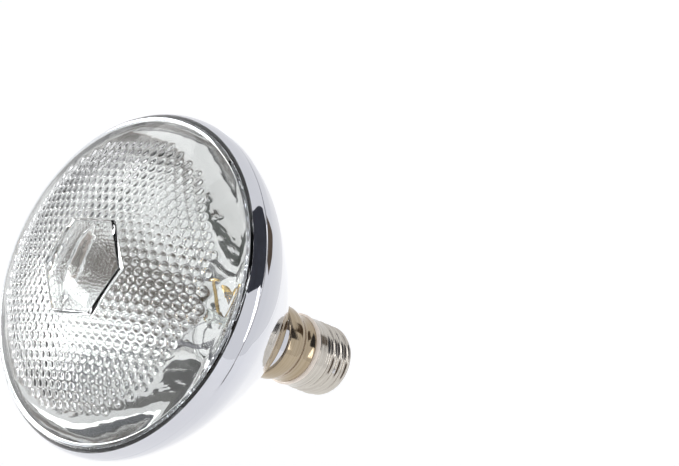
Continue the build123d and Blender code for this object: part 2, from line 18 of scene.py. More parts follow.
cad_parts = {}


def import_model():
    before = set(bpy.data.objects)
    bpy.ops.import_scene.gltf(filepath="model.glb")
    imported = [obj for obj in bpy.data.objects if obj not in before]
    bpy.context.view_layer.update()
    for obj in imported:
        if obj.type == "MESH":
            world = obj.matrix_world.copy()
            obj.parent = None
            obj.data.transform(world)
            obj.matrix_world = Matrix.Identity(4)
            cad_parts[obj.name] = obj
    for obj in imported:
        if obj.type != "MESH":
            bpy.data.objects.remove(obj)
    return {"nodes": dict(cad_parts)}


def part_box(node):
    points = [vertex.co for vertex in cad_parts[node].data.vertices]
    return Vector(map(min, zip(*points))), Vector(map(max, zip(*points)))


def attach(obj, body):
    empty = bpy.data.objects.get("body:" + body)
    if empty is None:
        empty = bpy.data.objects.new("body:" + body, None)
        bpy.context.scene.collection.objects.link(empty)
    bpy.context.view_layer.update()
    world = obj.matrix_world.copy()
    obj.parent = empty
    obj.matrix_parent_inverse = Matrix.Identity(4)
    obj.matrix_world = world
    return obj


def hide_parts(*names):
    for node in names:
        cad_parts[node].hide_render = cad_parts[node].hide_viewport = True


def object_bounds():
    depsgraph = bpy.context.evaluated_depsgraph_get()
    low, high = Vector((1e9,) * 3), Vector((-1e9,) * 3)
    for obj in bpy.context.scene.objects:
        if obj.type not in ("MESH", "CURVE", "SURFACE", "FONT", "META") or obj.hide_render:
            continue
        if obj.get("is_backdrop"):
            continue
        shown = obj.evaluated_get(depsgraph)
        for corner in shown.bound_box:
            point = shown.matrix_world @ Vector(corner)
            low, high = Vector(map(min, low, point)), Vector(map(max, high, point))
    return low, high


LOG = logging.getLogger("heat_lamp")
MM = 0.001
POLE = 0.0005
WELD_DISTANCE = 0.002
CELL_WELD_DISTANCE = 0.01
WIRE_ORDER = 3
WIRE_STEPS = 6
COAT_ROUGHNESS = 0.03
BODY = "root"

Piece = bpy.types.Object
Point = tuple[float, float]
Place = tuple[float, float, float]
Colour = tuple[float, float, float]


# ---------------- shaping helpers
def set_mode(name: str) -> None:
    """Goes to object mode or to edit mode."""
    bpy.ops.object.mode_set(mode=name)


def start_clean() -> None:
    """Leaves edit mode and deselects everything, so that an operator acts on one piece."""
    if bpy.context.mode != "OBJECT":
        set_mode("OBJECT")
    bpy.ops.object.select_all(action="DESELECT")


def take(piece: Piece) -> None:
    """Selects this piece alone and makes it active."""
    start_clean()
    piece.select_set(True)
    bpy.context.view_layer.objects.active = piece


def edit_all(piece: Piece) -> None:
    """Opens a piece in edit mode with its whole mesh selected."""
    take(piece)
    set_mode("EDIT")
    bpy.ops.mesh.select_all(action="SELECT")


def apply_place(piece: Piece) -> None:
    """Puts the piece's place, turn and scale into its mesh."""
    take(piece)
    bpy.ops.object.transform_apply(location=True, rotation=True, scale=True)


def close_and_face_out(piece: Piece) -> None:
    """Merges doubled vertices and turns the faces outwards.

    Args:
        piece: the mesh to close.
    """
    edit_all(piece)
    bpy.ops.mesh.remove_doubles(threshold=WELD_DISTANCE)
    bpy.ops.mesh.normals_make_consistent(inside=False)
    set_mode("OBJECT")


def apply_modifier(piece: Piece, kind: str, **settings: object) -> None:
    """Adds a modifier with these settings and applies it.

    Args:
        piece: the mesh that it works on.
        kind: the modifier's type.
        settings: its properties, by name.
    """
    take(piece)
    modifier = piece.modifiers.new(kind.lower(), kind)
    for key, value in settings.items():
        setattr(modifier, key, value)
    bpy.ops.object.modifier_apply(modifier=modifier.name)


def move_vertices(piece: Piece, rule: Callable[[Vector], Vector]) -> None:
    """Moves every vertex to where the rule puts it.

    Args:
        piece: the mesh to reshape.
        rule: gives a vertex's new place for its old one.
    """
    for vertex in piece.data.vertices:
        vertex.co = rule(vertex.co.copy())
    piece.data.update()


def select_vertices(piece: Piece, wanted: Iterable[int]) -> None:
    """Opens a piece in edit mode with only these vertices selected, and the edges between them.

    Args:
        piece: the mesh to open.
        wanted: indices of its vertices.
    """
    take(piece)
    set_mode("EDIT")
    bpy.ops.mesh.select_mode(type="VERT")
    bpy.ops.mesh.select_all(action="DESELECT")
    set_mode("OBJECT")
    for index in wanted:
        piece.data.vertices[index].select = True
    set_mode("EDIT")


def select_faces(piece: Piece, wanted: Callable[[Vector], bool]) -> None:
    """Opens a piece in edit mode with only some of its faces selected.

    Args:
        piece: the mesh to open.
        wanted: says for a face's middle whether the face is one of them.
    """
    edit_all(piece)
    bpy.ops.mesh.select_mode(type="FACE")
    bpy.ops.mesh.select_all(action="DESELECT")
    set_mode("OBJECT")
    for face in piece.data.polygons:
        face.select = wanted(face.center)
    set_mode("EDIT")


def extrude_rings(stations: Sequence[Point]) -> None:
    """Extrudes the selected ring through the stations, in edit mode.

    Args:
        stations: radius and Y of each ring; the first is the ring that is there already.
    """
    for (radius, y), (next_radius, next_y) in zip(stations, stations[1:]):
        bpy.ops.mesh.extrude_region_move(TRANSFORM_OT_translate={"value": (0, next_y - y, 0)})
        grow = max(next_radius, POLE) / max(radius, POLE)
        bpy.ops.transform.resize(value=(grow, 1, grow), center_override=(0, next_y, 0))


def lathe(stations: Sequence[Point], segments: int, loop: bool = False) -> Piece:
    """Turns a profile about the lamp's axis from a circle that is extruded and scaled.

    Args:
        stations: radius and Y along the profile; a radius of zero closes it on the axis.
        segments: faces round the axis.
        loop: whether the profile comes back to its first station.

    Returns:
        The turned mesh, closed and facing outwards.
    """
    path = list(stations) + ([stations[0]] if loop else [])
    radius, y = path[0]
    start_clean()
    bpy.ops.mesh.primitive_circle_add(
        vertices=segments, radius=max(radius, POLE), location=(0, y, 0), rotation=(math.pi / 2, 0, 0)
    )
    piece = bpy.context.object
    apply_place(piece)
    edit_all(piece)
    extrude_rings(path)
    close_and_face_out(piece)
    return piece


def block(size: Place, centre: Place, bevel: float, segments: int) -> Piece:
    """A small block with rounded edges.

    Args:
        size: its three sides.
        centre: its middle.
        bevel: radius of its edges.
        segments: faces across each rounded edge.

    Returns:
        The rounded mesh.
    """
    start_clean()
    bpy.ops.mesh.primitive_cube_add(size=1, location=centre)
    piece = bpy.context.object
    piece.scale = size
    apply_place(piece)
    edit_all(piece)
    bpy.ops.mesh.bevel(offset=bevel, segments=segments, affect="EDGES")
    set_mode("OBJECT")
    return piece


def join(pieces: Sequence[Piece]) -> Piece:
    """Joins these meshes into the first of them.

    Args:
        pieces: the meshes; the first takes in the others.

    Returns:
        The joined mesh.
    """
    start_clean()
    for piece in pieces:
        piece.select_set(True)
    bpy.context.view_layer.objects.active = pieces[0]
    bpy.ops.object.join()
    return pieces[0]


def wire(points: Sequence[Place], radius: float, smooth: bool, sides: int) -> Piece:
    """A round wire through these points.

    Args:
        points: its middle line.
        radius: half its thickness.
        smooth: whether it bends evenly between the points.
        sides: roundness of its section.

    Returns:
        The wire as a mesh with closed ends.
    """
    curve = bpy.data.curves.new("wire", "CURVE")
    curve.dimensions = "3D"
    curve.bevel_depth = radius
    curve.bevel_resolution = sides
    curve.use_fill_caps = True
    spline = curve.splines.new("NURBS" if smooth else "POLY")
    spline.points.add(len(points) - 1)
    for target, place in zip(spline.points, points):
        target.co = (*place, 1.0)
    if smooth:
        spline.order_u = WIRE_ORDER
        spline.use_endpoint_u = True
        spline.resolution_u = WIRE_STEPS
    piece = bpy.data.objects.new("wire", curve)
    bpy.context.scene.collection.objects.link(piece)
    take(piece)
    bpy.ops.object.convert(target="MESH")
    piece = bpy.context.object
    close_and_face_out(piece)
    return piece


def arc(centre: Point, radius: float, start: float, end: float, steps: int) -> list[Point]:
    """Points along an arc of a profile.

    Args:
        centre: radius and Y of its centre.
        radius: of the arc itself.
        start: first angle in degrees, from outwards towards +Y.
        end: last angle.
        steps: how many pieces it is cut into.

    Returns:
        The points, ends included.
    """
    angles = [math.radians(start + (end - start) * step / steps) for step in range(steps + 1)]
    return [(centre[0] + radius * math.cos(a), centre[1] + radius * math.sin(a)) for a in angles]


def ends(node: str) -> tuple[float, float]:
    """Lowest and highest Y of a CAD node, in millimetres."""
    low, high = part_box(node)
    return low.y / MM, high.y / MM


def ring_place(angle: float, radius: float, y: float) -> Vector:
    """The place at this angle about the axis, in degrees from +X towards +Z."""
    return Vector((radius * math.cos(math.radians(angle)), y, radius * math.sin(math.radians(angle))))


def smooth_noise(value: Vector, seed: float) -> float:
    """A slow, even ripple between about -1 and 1 that is the same on every run."""
    total = math.sin(value.x * 0.071 + seed) + math.sin(value.z * 0.083 + 1.7 * seed)
    return (total + math.sin((value.x + value.z) * 0.051 + value.y * 0.06 + seed)) / 3


@dataclass
class Pen:
    """Draws a profile that runs towards the cap, as runs and arcs that follow each other."""

    points: list[Point]
    slope: float

    def run(self, length: float) -> None:
        """Goes straight on."""
        radius, y = self.points[-1]
        turn = math.radians(self.slope)
        self.points.append((radius - math.sin(turn) * length, y + math.cos(turn) * length))

    def turn(self, radius: float, slope: float, steps: int) -> None:
        """Follows an arc until the profile has this slope.

        Args:
            radius: the arc's; negative where the profile turns back outwards.
            slope: in degrees from the axis.
            steps: how many pieces the arc is cut into.
        """
        start_radius, start_y = self.points[-1]
        first, last = math.radians(self.slope), math.radians(slope)
        for step in range(1, steps + 1):
            now = first + (last - first) * step / steps
            across, along = math.cos(now) - math.cos(first), math.sin(now) - math.sin(first)
            self.points.append((start_radius + radius * across, start_y + radius * along))
        self.slope = slope

    def step_in(self, depth: float) -> None:
        """Drops square to the profile, as a pressed ring does."""
        radius, y = self.points[-1]
        turn = math.radians(self.slope)
        self.points.append((radius - math.cos(turn) * depth, y - math.sin(turn) * depth))


# ---------------- finishes
def set_inputs(node: bpy.types.Node, values: dict[str, object]) -> None:
    """Sets a node's sockets to these values, by their names."""
    for name, value in values.items():
        node.inputs[name].default_value = value


class Pattern(Enum):
    """How a finish varies over a surface."""

    CLOUDED = "clouded"
    TURNED = "turned"
    GRAINY = "grainy"


@dataclass(frozen=True)
class Finish:
    """One material: its two colours, its range of roughness, and how they vary.

    The bump is a strength and a distance in metres.
    """

    name: str
    colour: Colour
    other: Colour
    rough: tuple[float, float]
    pattern: Pattern = Pattern.CLOUDED
    scale: float = 60.0
    metallic: float = 0.0
    transmission: float = 0.0
    ior: float = 1.5
    coat: float = 0.0
    bump: tuple[float, float] = (0.0, 0.0)
    emission: Colour = (0.0, 0.0, 0.0)
    glow: float = 0.0

    def material(self) -> bpy.types.Material:
        """Builds the node material, or gives the one that is there already."""
        title = f"{self.name}_finish"
        made = bpy.data.materials.get(title)
        if made is not None:
            return made
        made = bpy.data.materials.new(title)
        made.use_nodes = True
        nodes, links = made.node_tree.nodes, made.node_tree.links
        shader = nodes["Principled BSDF"]
        sockets = {
            "Metallic": self.metallic,
            "Transmission Weight": self.transmission,
            "IOR": self.ior,
            "Coat Weight": self.coat,
            "Coat Roughness": COAT_ROUGHNESS,
            "Emission Color": (*self.emission, 1.0),
            "Emission Strength": self.glow,
        }
        set_inputs(shader, sockets)
        factor = self.variation(nodes, links)
        mix = nodes.new("ShaderNodeMix")
        mix.data_type = "RGBA"
        set_inputs(mix, {"A": (*self.colour, 1.0), "B": (*self.other, 1.0)})
        links.new(factor, mix.inputs["Factor"])
        links.new(mix.outputs["Result"], shader.inputs["Base Color"])
        gloss = nodes.new("ShaderNodeMapRange")
        set_inputs(gloss, {"To Min": self.rough[0], "To Max": self.rough[1]})
        links.new(factor, gloss.inputs["Value"])
        links.new(gloss.outputs["Result"], shader.inputs["Roughness"])
        if self.bump[0] > 0:
            bump = nodes.new("ShaderNodeBump")
            set_inputs(bump, {"Strength": self.bump[0], "Distance": self.bump[1]})
            links.new(factor, bump.inputs["Height"])
            links.new(bump.outputs["Normal"], shader.inputs["Normal"])
        return made

    def variation(self, nodes: bpy.types.Nodes, links: bpy.types.NodeLinks) -> bpy.types.NodeSocket:
        """Adds the pattern's nodes.

        Args:
            nodes: the material's nodes.
            links: the material's links.

        Returns:
            The socket that gives the pattern, from 0 to 1.
        """
        place = nodes.new("ShaderNodeTexCoord")
        mapping = nodes.new("ShaderNodeMapping")
        links.new(place.outputs["Object"], mapping.inputs["Vector"])
        noise = nodes.new("ShaderNodeTexNoise")
        set_inputs(noise, {"Scale": self.scale, "Detail": 4.0})
        links.new(mapping.outputs["Vector"], noise.inputs["Vector"])
        if self.pattern is Pattern.TURNED:
            set_inputs(mapping, {"Scale": (0.12, 9.0, 0.12)})
            set_inputs(noise, {"Scale": self.scale * 3})
        if self.pattern is Pattern.GRAINY:
            set_inputs(noise, {"Detail": 8.0, "Roughness": 0.75})
        spread = nodes.new("ShaderNodeMapRange")
        set_inputs(spread, {"From Min": 0.3, "From Max": 0.7})
        links.new(noise.outputs["Fac"], spread.inputs["Value"])
        return spread.outputs["Result"]


@dataclass(frozen=True)
class Metal(Finish):
    """The finish of a bare metal."""

    metallic: float = 1.0


CLEAR_GLASS = Finish(
    "clear_glass", (0.985, 0.995, 0.99), (0.96, 0.98, 0.975), (0.0, 0.0), scale=30, transmission=1.0,
    ior=1.49,
)
STEM_GLASS = Finish(
    "stem_glass", (0.96, 0.985, 0.97), (0.9, 0.94, 0.91), (0.0, 0.03), scale=160, transmission=1.0,
    ior=1.55,
)
SILVERED_GLASS = Metal(
    "silvered_glass", (0.69, 0.695, 0.73), (0.64, 0.65, 0.7), (0.015, 0.05), scale=24, coat=0.6,
    bump=(0.12, 0.0008),
)
MIRROR_FILM = Metal(
    "mirror_film", (0.93, 0.925, 0.92), (0.82, 0.82, 0.815), (0.01, 0.05), scale=26, bump=(0.2, 0.0008)
)
NICKEL_PLATE = Metal(
    "nickel_plate", (0.66, 0.63, 0.57), (0.5, 0.46, 0.41), (0.1, 0.24), Pattern.TURNED, 70,
    bump=(0.12, 0.00006),
)
POLISHED_COLLAR = Metal(
    "polished_collar", (0.5, 0.42, 0.31), (0.36, 0.28, 0.18), (0.05, 0.13), Pattern.TURNED, 50,
    bump=(0.08, 0.00005),
)
CERAMIC = Finish(
    "ring_ceramic", (0.86, 0.78, 0.7), (0.76, 0.66, 0.57), (0.35, 0.55), Pattern.GRAINY, 420,
    coat=0.25, bump=(0.25, 0.00008),
)
CEMENT = Finish(
    "basing_cement", (0.66, 0.6, 0.5), (0.5, 0.45, 0.37), (0.8, 0.95), Pattern.GRAINY, 700,
    bump=(0.6, 0.0002),
)
BLACK_GLASS = Finish(
    "black_glass", (0.012, 0.011, 0.013), (0.03, 0.024, 0.03), (0.06, 0.18), scale=220, coat=0.5,
    bump=(0.15, 0.0001),
)
CONTACT_BRASS = Metal(
    "contact_brass", (0.78, 0.6, 0.3), (0.6, 0.43, 0.19), (0.16, 0.34), Pattern.TURNED, 160,
    bump=(0.15, 0.00005),
)
SOLDER = Metal("solder", (0.68, 0.68, 0.7), (0.5, 0.5, 0.53), (0.2, 0.42), scale=600, bump=(0.4, 0.0001))
LEAD_BRASS = Metal(
    "lead_brass", (0.86, 0.66, 0.34), (0.66, 0.46, 0.2), (0.12, 0.3), scale=400, bump=(0.1, 0.00005)
)
TUNGSTEN = Metal("tungsten", (0.42, 0.42, 0.45), (0.26, 0.26, 0.29), (0.25, 0.45), scale=900)
MOLYBDENUM = Metal("molybdenum", (0.6, 0.6, 0.62), (0.45, 0.45, 0.48), (0.2, 0.35), scale=600)
COPPER_SEAL = Metal("copper_seal", (0.78, 0.36, 0.2), (0.58, 0.22, 0.12), (0.2, 0.4), scale=500)
SHIELD_METAL = Metal(
    "shield_metal", (0.82, 0.74, 0.62), (0.64, 0.54, 0.4), (0.14, 0.32), Pattern.TURNED, 90,
    bump=(0.15, 0.00008),
)
FLOOR_PAINT = Finish(
    "floor_paint", (0.9, 0.9, 0.9), (0.92, 0.92, 0.92), (0.7, 0.8), scale=3.0, emission=(1.0, 1.0, 1.0),
    glow=0.22,
)


def hand_over(
    piece: Piece, name: str, finish: Finish, node: str, crease: float
) -> None:
    """Finishes a piece: metres, shading, material, and what it stands for.

    Args:
        piece: the mesh, in millimetres.
        name: its name.
        finish: its material.
        node: the CAD node that it replaces.
        crease: edges sharper than this stay sharp, in degrees.
    """
    piece.name = name
    piece.data.name = name
    piece.data.transform(Matrix.Scale(MM, 4))
    take(piece)
    bpy.ops.object.shade_smooth_by_angle(angle=math.radians(crease))
    piece.data.materials.clear()
    piece.data.materials.append(finish.material())
    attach(piece, BODY)
    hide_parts(node)
    start_clean()
    LOG.info("%s: %d faces", name, len(piece.data.polygons))


# ---------------- bulb outline
@dataclass
class BulbOutline:
    """The bulb's turned outline, shared by its lens and its bowl."""

    rim_radius: float
    pad_y: float
    lip_y: float
    neck_end_y: float
    film_end_y: float
    lip_length: float = 4.8
    dome_height: float = 24.0
    corner: float = 9.5
    pad_rise: float = 0.6
    lip_back: float = 3.0
    lip_taper: float = 0.2
    start_slope: float = 17.0
    shoulder_radius: float = 45.0
    shoulder_slope: float = 35.0
    flank_radius: float = 450.0
    crease_slope: float = 37.5
    flank_slope: float = 41.0
    heel_radius: float = 5.0
    heel_slope: float = 80.0
    neck_fillet: float = 3.0
    neck_radius: float = 13.2
    groove_profile: tuple[Point, ...] = ((0.8, 0.12), (1.0, 0.3), (0.8, 0.48))
    groove_end: Point = (0.03, 0.62)
    step_profile: tuple[Point, ...] = ((0.25, 0.25), (0.5, 0.15), (0.25, 0.0))

    @classmethod
    def from_frame(cls) -> BulbOutline:
        """Takes the outline's places from the CAD nodes."""
        lip_y, neck_end_y = ends("reflector_glass")
        return cls(
            rim_radius=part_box("reflector_glass")[1].x / MM,
            pad_y=ends("front_lens")[0],
            lip_y=lip_y,
            neck_end_y=neck_end_y,
            film_end_y=ends("reflector_mirror")[1],
        )

    @property
    def seam_y(self) -> float:
        """The plane of the seam between the lens and the bowl."""
        return self.lip_y + self.lip_length

    @property
    def crown_y(self) -> float:
        """The top of the dome, without its pad."""
        return self.pad_y + self.pad_rise

    @property
    def crown_radius(self) -> float:
        """Radius of the dome's flat middle, which meets the corner without a crease."""
        reach = self.rim_radius - self.corner
        rise = self.dome_height
        return (reach**2 + rise**2 - self.corner**2) / (2 * (rise - self.corner))

    @property
    def crown_angle(self) -> float:
        """Half the angle that the crown's arc spans, in degrees."""
        reach = self.rim_radius - self.corner
        return math.degrees(math.atan2(reach, self.crown_radius - self.dome_height))

    def crown_height(self, radius: float) -> float:
        """Y of the crown at this distance from the axis."""
        return self.crown_y + self.crown_radius - math.sqrt(self.crown_radius**2 - radius**2)

    def rim(self, inset: float, end: float, steps: int) -> list[Point]:
        """The rounded rim, cut into this many pieces from its lip to the end angle.

        Args:
            inset: how far it lies inside the outer surface.
            end: last angle of the arc, in degrees.
            steps: how many pieces it is cut into.

        Returns:
            Its points, from the lip.
        """
        corner = self.corner - inset
        lip_angle = math.degrees(math.asin(self.lip_length / corner))
        return arc((self.rim_radius - self.corner, self.seam_y), corner, -lip_angle, end, steps)

    def dome(self, inset: float, crown_steps: int) -> list[Point]:
        """The dome's profile from its lip to the axis.

        Args:
            inset: how far it lies inside the outer surface.
            crown_steps: how many pieces the crown is cut into.

        Returns:
            Its points, ending on the axis.
        """
        meeting = self.crown_angle - 90
        middle = (0.0, self.crown_y + self.crown_radius)
        crown = arc(middle, self.crown_radius - inset, meeting, -90, crown_steps)
        return self.rim(inset, meeting, 10) + crown[1:]

    def bowl(self, inset: float, step: float, end_y: float, groove: float = 0.0) -> list[Point]:
        """The bowl's profile from its lip to the neck's end.

        Args:
            inset: how far it lies inside the outer surface.
            step: depth of the pressed ring on its flank.
            end_y: where the neck stops.
            groove: depth of the seam's groove.

        Returns:
            Its points, from the lip to the neck.
        """
        points = self.rim(inset, 0, 6)
        if groove > 0:
            edge = points[-1][0]
            points += [(edge - groove * share, self.seam_y + along) for share, along in self.groove_profile]
            points.append((edge - self.groove_end[0], self.seam_y + self.groove_end[1]))
        lean = math.radians(self.start_slope)
        start = (
            self.rim_radius - self.lip_taper - inset * math.cos(lean),
            self.seam_y + self.lip_back - inset * math.sin(lean),
        )
        pen = Pen(points + [start], self.start_slope)
        pen.turn(self.shoulder_radius - inset, self.shoulder_slope, 10)
        pen.turn(self.flank_radius - inset, self.crease_slope, 5)
        if step > 0:
            for share, length in self.step_profile:
                pen.step_in(step * share)
                if length > 0:
                    pen.run(length)
        pen.turn(self.flank_radius - inset - step, self.flank_slope, 8)
        pen.turn(self.heel_radius - inset, self.heel_slope, 8)
        fillet = self.neck_fillet + inset
        end_slope = math.radians(self.heel_slope)
        fillet_start = self.neck_radius - inset + fillet * (1 - math.cos(end_slope))
        pen.run((pen.points[-1][0] - fillet_start) / math.sin(end_slope))
        pen.turn(-fillet, 0.0, 8)
        pen.points.append((self.neck_radius - inset, end_y))
        return pen.points


# ---------------- front lens
@dataclass
class FrontLens:
    """The clear lens: a field of round bumps about a six-sided pad, and a plain border."""

    outline: BulbOutline
    wall: float = 3.2
    lip_wall: float = 0.9
    pitch: float = 3.5
    bump_height: float = 0.55
    field_radius: float = 50.2
    border_start: float = 54.3
    rows: int = 34
    columns: int = 20
    pad_gap: float = 0.32
    border_gap: float = 0.3
    bump_gap: float = 0.42
    bump_steps: tuple[Point, ...] = ((0.09, 0.25), (0.11, 0.45), (0.13, 0.3))
    thinning_length: float = 7.0
    pad_foot: float = 19.0
    pad_rings: tuple[Point, ...] = (
        (18.85, 0.95), (18.6, 0.5), (18.4, 0.05), (18.1, 0.02), (17.85, 0.14), (17.55, 0.34),
    )
    pad_inset: float = 0.25
    inner_edge: list[int] = field(default_factory=list)
    outer_edge: list[int] = field(default_factory=list)

    def build(self) -> None:
        """Models the lens and dresses it."""
        piece = self.cells()
        self.raise_bumps(piece)
        apply_modifier(piece, "SUBSURF", levels=1, render_levels=1)
        self.trim_edges(piece)
        self.close_wall(piece)
        self.close_pad(piece)
        close_and_face_out(piece)
        hand_over(piece, "lens_glass", CLEAR_GLASS, "front_lens", 42.0)

    def pad_reach(self, x: float, z: float) -> float:
        """Distance from the axis to the side of the pad's six-sided foot, in this direction.

        Args:
            x: the direction's X.
            z: the direction's Z.

        Returns:
            The distance, in millimetres.
        """
        sixth = math.pi / 3
        turn = math.atan2(z, x) % sixth
        turn = min(turn, sixth - turn)
        return self.pad_foot * math.cos(math.pi / 6) / math.cos(turn)

    def cells(self) -> Piece:
        """Lays out six-sided cells side by side, and keeps those between pad and border."""
        start_clean()
        across = self.pitch * math.sqrt(3)
        corner = (-(self.columns // 2) * across, 0.0, -(self.rows // 2) * self.pitch)
        sheets = []
        for shift in (Vector((0, 0, 0)), Vector((across / 2, 0, self.pitch / 2))):
            start_clean()
            bpy.ops.mesh.primitive_circle_add(
                vertices=6,
                radius=self.pitch / math.sqrt(3),
                fill_type="NGON",
                location=Vector(corner) + shift,
                rotation=(math.pi / 2, math.pi / 6, 0),
            )
            sheet = bpy.context.object
            apply_place(sheet)
            for count, offset in ((self.rows, (0, 0, self.pitch)), (self.columns, (across, 0, 0))):
                repeat = {"count": count, "use_relative_offset": False, "use_constant_offset": True}
                apply_modifier(sheet, "ARRAY", **repeat, constant_offset_displace=offset)
            sheets.append(sheet)
        piece = join(sheets)
        edit_all(piece)
        bpy.ops.mesh.remove_doubles(threshold=CELL_WELD_DISTANCE)

        def spare(middle: Vector) -> bool:
            """Whether a cell lies on the pad or on the border."""
            reach = math.hypot(middle.x, middle.z)
            inside = reach < self.pad_reach(middle.x, middle.z) + self.pad_gap * self.pitch
            return inside or reach > self.border_start - self.border_gap * self.pitch

        select_faces(piece, spare)
        bpy.ops.mesh.delete(type="FACE")
        set_mode("OBJECT")
        return piece

    def raise_bumps(self, piece: Piece) -> None:
        """Insets the cells of the field one by one and raises them in a few steps.

        Args:
            piece: the sheet of cells.
        """

        def bumped(middle: Vector) -> bool:
            """Whether a cell is clear of the pad and inside the field."""
            reach = math.hypot(middle.x, middle.z)
            clear = reach > self.pad_reach(middle.x, middle.z) + self.bump_gap * self.pitch
            return clear and reach < self.field_radius - self.pitch / 2

        select_faces(piece, bumped)
        for share, height in self.bump_steps:
            bpy.ops.mesh.inset(thickness=share * self.pitch, use_individual=True)
            bpy.ops.transform.translate(value=(0, -height * self.bump_height, 0))
        set_mode("OBJECT")

    def trim_edges(self, piece: Piece) -> None:
        """Brings the two ragged edges to a circle and to the pad's outline, on the crown.

        Args:
            piece: the sheet with its bumps.
        """
        uses: dict[tuple[int, int], int] = {}
        for face in piece.data.polygons:
            for key in face.edge_keys:
                uses[key] = uses.get(key, 0) + 1
        edge = {index for key, count in uses.items() if count == 1 for index in key}
        vertices = piece.data.vertices
        self.inner_edge = [i for i in edge if math.hypot(*vertices[i].co.xz) < self.field_radius / 2]
        self.outer_edge = list(edge.difference(self.inner_edge))
        for index in edge:
            x, _, z = vertices[index].co
            reach = self.pad_reach(x, z) if index in self.inner_edge else self.border_start
            grow = reach / math.hypot(x, z)
            vertices[index].co = Vector((x * grow, 0, z * grow))
        for side in range(6):
            corner = ring_place(30 + 60 * side, self.pad_foot, 0)
            nearest = min(self.inner_edge, key=lambda i: (vertices[i].co - corner).length)
            vertices[nearest].co = corner
        rise = self.outline.crown_height
        move_vertices(piece, lambda v: Vector((v.x, v.y + rise(math.hypot(v.x, v.z)), v.z)))

    def close_wall(self, piece: Piece) -> None:
        """Extrudes the field's border round the rim and back along the smooth inner wall.

        Args:
            piece: the trimmed sheet.
        """
        outside = self.outline.dome(0.0, 40)
        outside = [point for point in outside if point[0] > self.border_start]
        border = (self.border_start, self.outline.crown_height(self.border_start))
        inside = [self.thinned(point) for point in self.outline.dome(self.wall, 24)]
        select_vertices(piece, self.outer_edge)
        extrude_rings([border, *reversed(outside), *inside])
        set_mode("OBJECT")

    def thinned(self, point: Point) -> Point:
        """Moves a point of the inner wall outwards near the lip, where the glass thins."""
        share = max(0.0, 1 - (self.outline.lip_y - point[1]) / self.thinning_length)
        return (point[0] + (self.wall - self.lip_wall) * share * share, point[1])

    def close_pad(self, piece: Piece) -> None:
        """Extrudes the pad's foot up over its low bead, then in to its flat top, and fills it.

        Args:
            piece: the lens, still open at the pad.
        """
        select_vertices(piece, self.inner_edge)
        corner, height = self.pad_foot, 1.0
        for next_corner, next_height in self.pad_rings:
            shrink, drop = next_corner / corner, next_height / height
            bpy.ops.mesh.extrude_region_move(TRANSFORM_OT_translate={"value": (0, 0, 0)})
            centre = (0, self.outline.pad_y, 0)
            bpy.ops.transform.resize(value=(shrink, drop, shrink), center_override=centre)
            corner, height = next_corner, next_height
        bpy.ops.mesh.edge_face_add()
        bpy.ops.mesh.inset(thickness=self.pad_inset)
        set_mode("OBJECT")


# ---------------- reflector
@dataclass
class Reflector:
    """The silvered bowl: its glass as it looks from outside, and the mirror inside it."""

    outline: BulbOutline
    wall: float = 2.8
    film: float = 0.15
    step: float = 0.5
    groove: float = 0.4
    ripple: float = 0.05
    ripple_seed: float = 0.8
    segments: int = 192

    def build(self) -> None:
        """Models both layers and dresses them."""
        glass = self.layer(0.0, self.wall, self.step, self.outline.neck_end_y, self.groove)
        hand_over(glass, "bowl_glass", SILVERED_GLASS, "reflector_glass", 50.0)
        mirror = self.layer(self.wall, self.film, 0.0, self.outline.film_end_y, 0.0)
        move_vertices(mirror, self.rippled)
        hand_over(mirror, "bowl_mirror", MIRROR_FILM, "reflector_mirror", 60.0)

    def rippled(self, spot: Vector) -> Vector:
        """Moves a point of the mirror a little inwards or outwards, as blown glass is.

        Args:
            spot: a point of the mirror.

        Returns:
            Its new place.
        """
        change = self.ripple * (smooth_noise(spot, self.ripple_seed) - 1.0)
        reach = max(math.hypot(spot.x, spot.z), 1.0)
        grow = 1 + change / reach
        return Vector((spot.x * grow, spot.y, spot.z * grow))

    def layer(self, inset: float, wall: float, step: float, end_y: float, groove: float) -> Piece:
        """Turns one layer as a closed wall.

        Args:
            inset: its outer face, inside the bulb's surface.
            wall: its thickness.
            step: depth of the pressed ring in its outer face.
            end_y: where it stops in the neck.
            groove: depth of the seam's groove in its outer face.

        Returns:
            The turned mesh.
        """
        outside = self.outline.bowl(inset, step, end_y, groove)
        inside = self.outline.bowl(inset + wall, 0.0, end_y)
        return lathe(outside + list(reversed(inside)), self.segments, loop=True)


